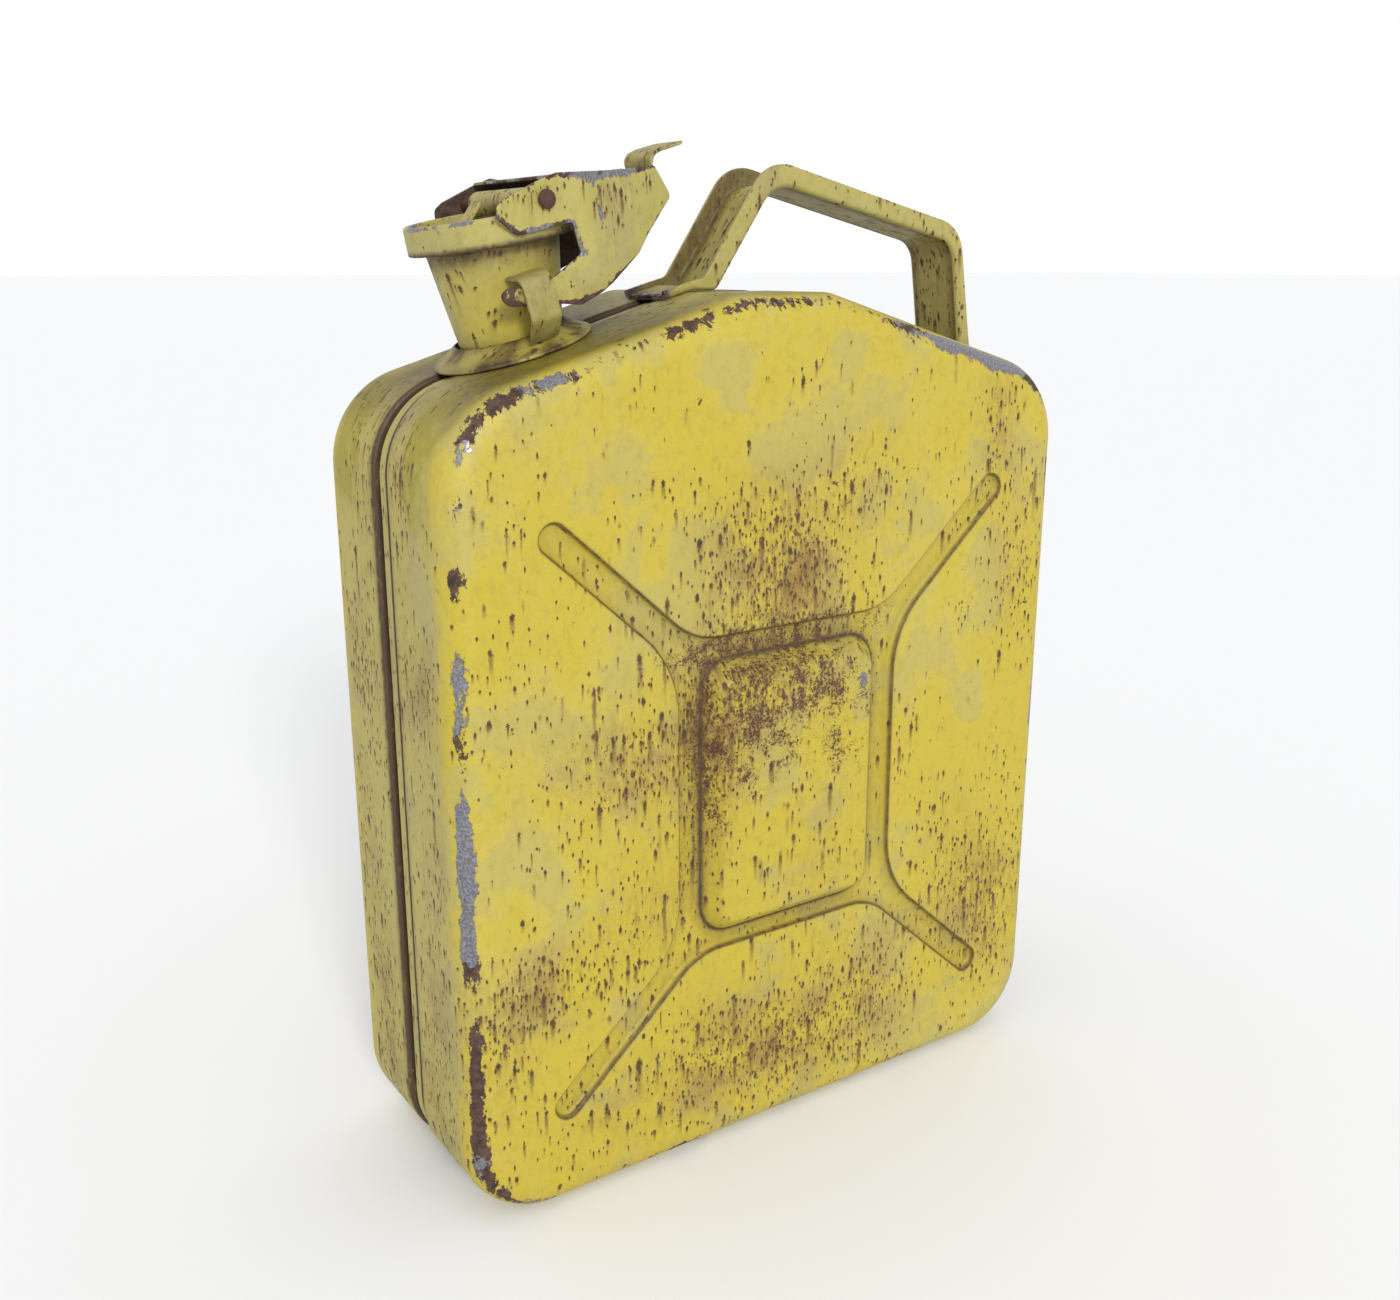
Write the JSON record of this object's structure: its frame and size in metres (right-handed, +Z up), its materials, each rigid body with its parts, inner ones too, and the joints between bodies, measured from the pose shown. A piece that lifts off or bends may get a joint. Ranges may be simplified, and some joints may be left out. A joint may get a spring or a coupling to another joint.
{
  "type": "fuel can",
  "caption": "Flat pressed-steel fuel can with a tilted neck, a lid clamped by a hooked lever, and a channel handle.",
  "frame": {"origin": "on the floor under the middle of the can", "axes": "+X along the can's width from the neck's side to the handle's post, +Z up, the front face looks along -Y"},
  "size_m": [0.24, 0.099, 0.3307],
  "materials": {
    "yellow_paint": "weathered satin paint with rust pits, drip streaks and chips",
    "olive_paint": "dull weathered paint with rust and chipped edges",
    "bare_steel": "bare steel browned with rust",
    "black_rubber": "matte rubber"
  },
  "bodies": {
    "can": {"front_shell": "yellow_paint", "rear_shell": "yellow_paint", "seam_band": "olive_paint", "neck_tube": "olive_paint", "neck_collar": "olive_paint", "ear_strap_front": "olive_paint", "ear_strap_rear": "olive_paint", "breather_tube": "bare_steel", "breather_clip": "bare_steel", "handle": "olive_paint"},
    "lid": {"lid_cap": "olive_paint", "lid_gasket": "black_rubber", "gasket_plate": "bare_steel", "lid_rivet": "bare_steel", "lid_bracket": "olive_paint"},
    "lever": {"lever_cheek_front": "olive_paint", "lever_cheek_rear": "olive_paint", "lever_saddle": "olive_paint", "thumb_tab": "olive_paint", "pivot_pin": "bare_steel", "pin_head_front": "bare_steel", "pin_head_rear": "bare_steel"}
  },
  "joints": [
    {"name": "lid_lift", "type": "slide", "parent": "can", "child": "lid", "axis": [-0.184, 0, 0.9829], "range_m": [0, 0.0151]},
    {"name": "lever_raise", "type": "hinge", "parent": "lid", "child": "lever", "pos_m": [-0.07637, 0, 0.31097], "axis": [0, -1, 0], "range_deg": [0, 100]}
  ],
  "couplings": [
    {"joint": "lid_lift", "follows": "lever_raise", "m_per_rad": 0.0086}
  ]
}
